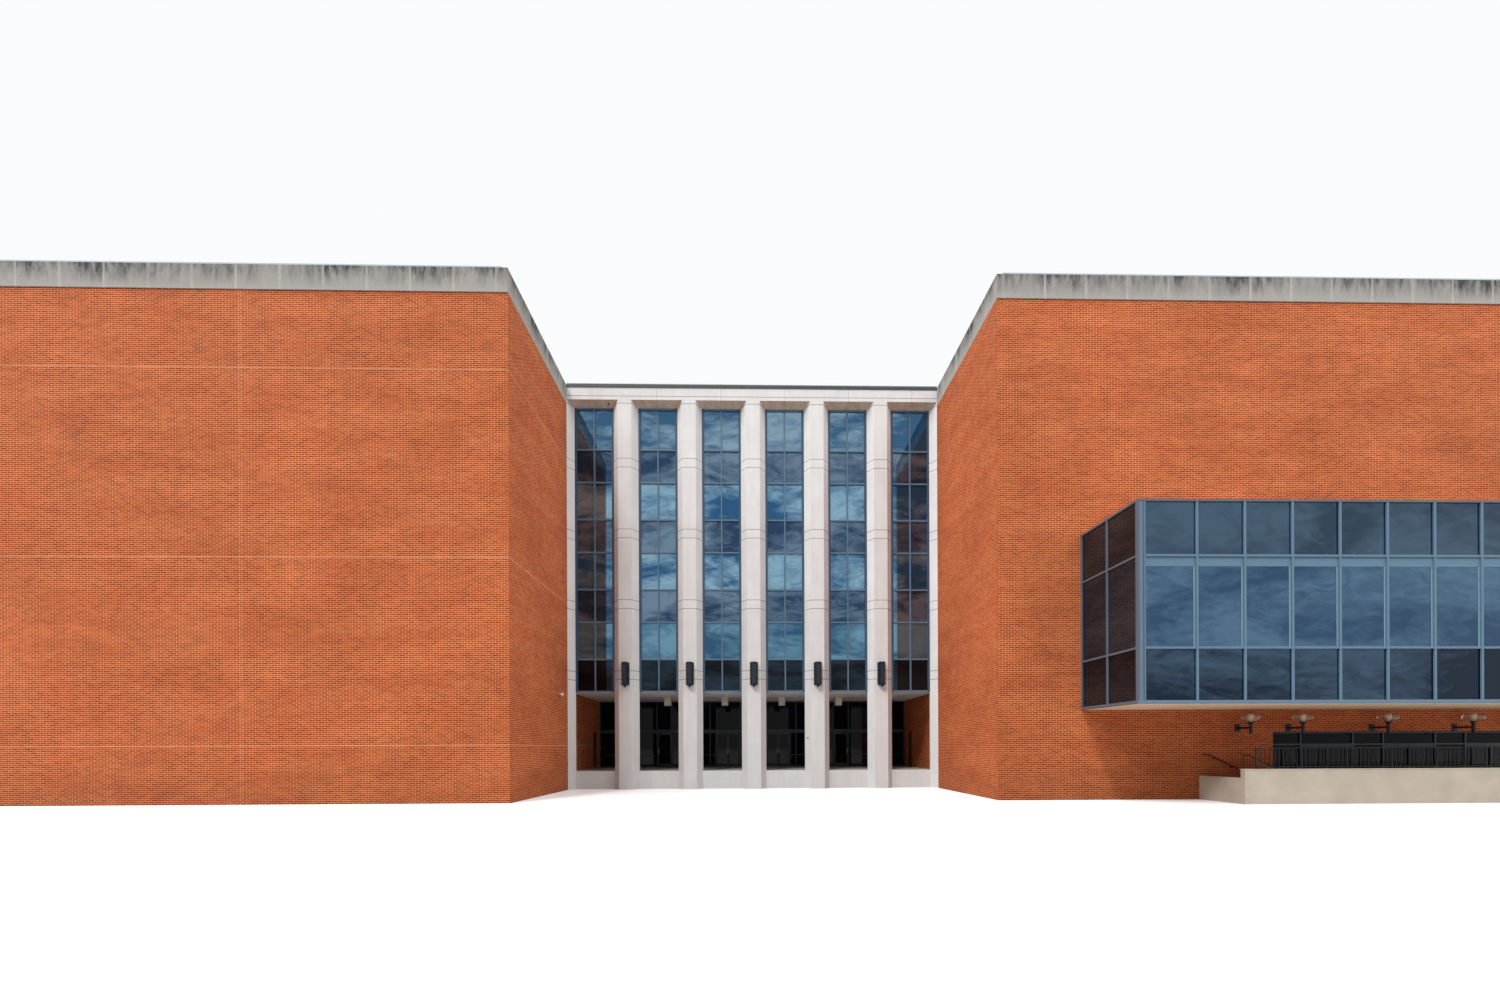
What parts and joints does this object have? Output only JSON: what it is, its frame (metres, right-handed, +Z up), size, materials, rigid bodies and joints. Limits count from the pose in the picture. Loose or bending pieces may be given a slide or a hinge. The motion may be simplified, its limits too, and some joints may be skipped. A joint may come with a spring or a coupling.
{
  "type": "office building, 1:2 scale model",
  "caption": "Office building: a white pier and glass centre over an open loggia, between two plain brick wings, one with a glazed box above a sunken entry.",
  "frame": {"origin": "middle of the building's box, at the level of its lowest ground", "axes": "+X along the front to the right, +Y to the rear, +Z up"},
  "size_m": [37.585, 15.27, 11.15],
  "materials": {
    "brick": "rough",
    "precast": "matte",
    "concrete": "rough",
    "coping_metal": "satin",
    "frame_metal": "satin",
    "black_metal": "satin",
    "door_metal": "satin",
    "window_glass": "clear",
    "soffit_board": "matte",
    "beige_soffit": "matte",
    "roof_membrane": "matte",
    "lamp_cream": "satin",
    "globe_glass": "clear",
    "white_plastic": "gloss"
  },
  "bodies": {
    "building": {"front_piers": "precast", "rear_piers": "precast", "head_beams": "precast", "centre_copings": "coping_metal", "curtain_frames": "frame_metal", "curtain_glass": "window_glass", "plinth_walls": "precast", "ground_floor": "concrete", "upper_floors": "concrete", "centre_roof": "roof_membrane", "loggia_soffit": "soffit_board", "entrance_posts": "frame_metal", "entrance_rails": "frame_metal", "entrance_glass": "window_glass", "ceiling_lamps": "lamp_cream", "inner_walls_front": "brick", "inner_walls_rear": "brick", "side_doorway_walls": "brick", "outer_walls": "brick", "rear_walls": "brick", "left_front_wall": "brick", "right_front_wall_ends": "brick", "right_front_wall_spans": "brick", "right_front_wall_low": "brick", "wing_copings": "concrete", "wing_roofs": "roof_membrane", "wing_floors": "concrete", "box_frames": "frame_metal", "box_glass": "window_glass", "box_floor": "beige_soffit", "box_roof": "concrete", "box_level_floor": "concrete", "entry_posts": "frame_metal", "entry_rails": "frame_metal", "entry_glass": "window_glass", "sunken_floor": "concrete", "entry_sill": "concrete", "entry_stair": "concrete", "court_wall": "concrete", "court_end_wall": "concrete", "guard_rail": "black_metal", "hand_rails": "black_metal", "sconces": "black_metal", "globe_arms": "black_metal", "globes": "globe_glass", "dome_camera": "white_plastic"},
    "right_inner_door": {"right_inner_door": "frame_metal"},
    "right_outer_door": {"right_outer_door": "frame_metal"},
    "right_single_door": {"right_single_door": "frame_metal"},
    "left_inner_door": {"left_inner_door": "frame_metal"},
    "left_outer_door": {"left_outer_door": "frame_metal"},
    "left_single_door": {"left_single_door": "frame_metal"},
    "left_side_door": {"left_side_door": "door_metal"},
    "right_side_door": {"right_side_door": "door_metal"}
  },
  "joints": [
    {"name": "right_inner_hinge", "type": "hinge", "parent": "building", "child": "right_inner_door", "pos_m": [0.456, 1.215, 0.508], "axis": [0, 0, -1], "range_deg": [0, 90]},
    {"name": "right_outer_hinge", "type": "hinge", "parent": "building", "child": "right_outer_door", "pos_m": [1.224, 1.215, 0.508], "axis": [0, 0, 1], "range_deg": [0, 90]},
    {"name": "right_single_hinge", "type": "hinge", "parent": "building", "child": "right_single_door", "pos_m": [2.731, 1.215, 0.508], "axis": [0, 0, -1], "range_deg": [0, 90]},
    {"name": "left_inner_hinge", "type": "hinge", "parent": "building", "child": "left_inner_door", "pos_m": [-0.456, 1.215, 0.508], "axis": [0, 0, 1], "range_deg": [0, 90]},
    {"name": "left_outer_hinge", "type": "hinge", "parent": "building", "child": "left_outer_door", "pos_m": [-1.224, 1.215, 0.508], "axis": [0, 0, -1], "range_deg": [0, 90]},
    {"name": "left_single_hinge", "type": "hinge", "parent": "building", "child": "left_single_door", "pos_m": [-2.731, 1.215, 0.508], "axis": [0, 0, 1], "range_deg": [0, 90]},
    {"name": "left_side_hinge", "type": "hinge", "parent": "building", "child": "left_side_door", "pos_m": [-5.14, 0.421, 0.508], "axis": [0, 0, -1], "range_deg": [0, 90]},
    {"name": "right_side_hinge", "type": "hinge", "parent": "building", "child": "right_side_door", "pos_m": [5.14, 0.421, 0.508], "axis": [0, 0, 1], "range_deg": [0, 90]}
  ]
}
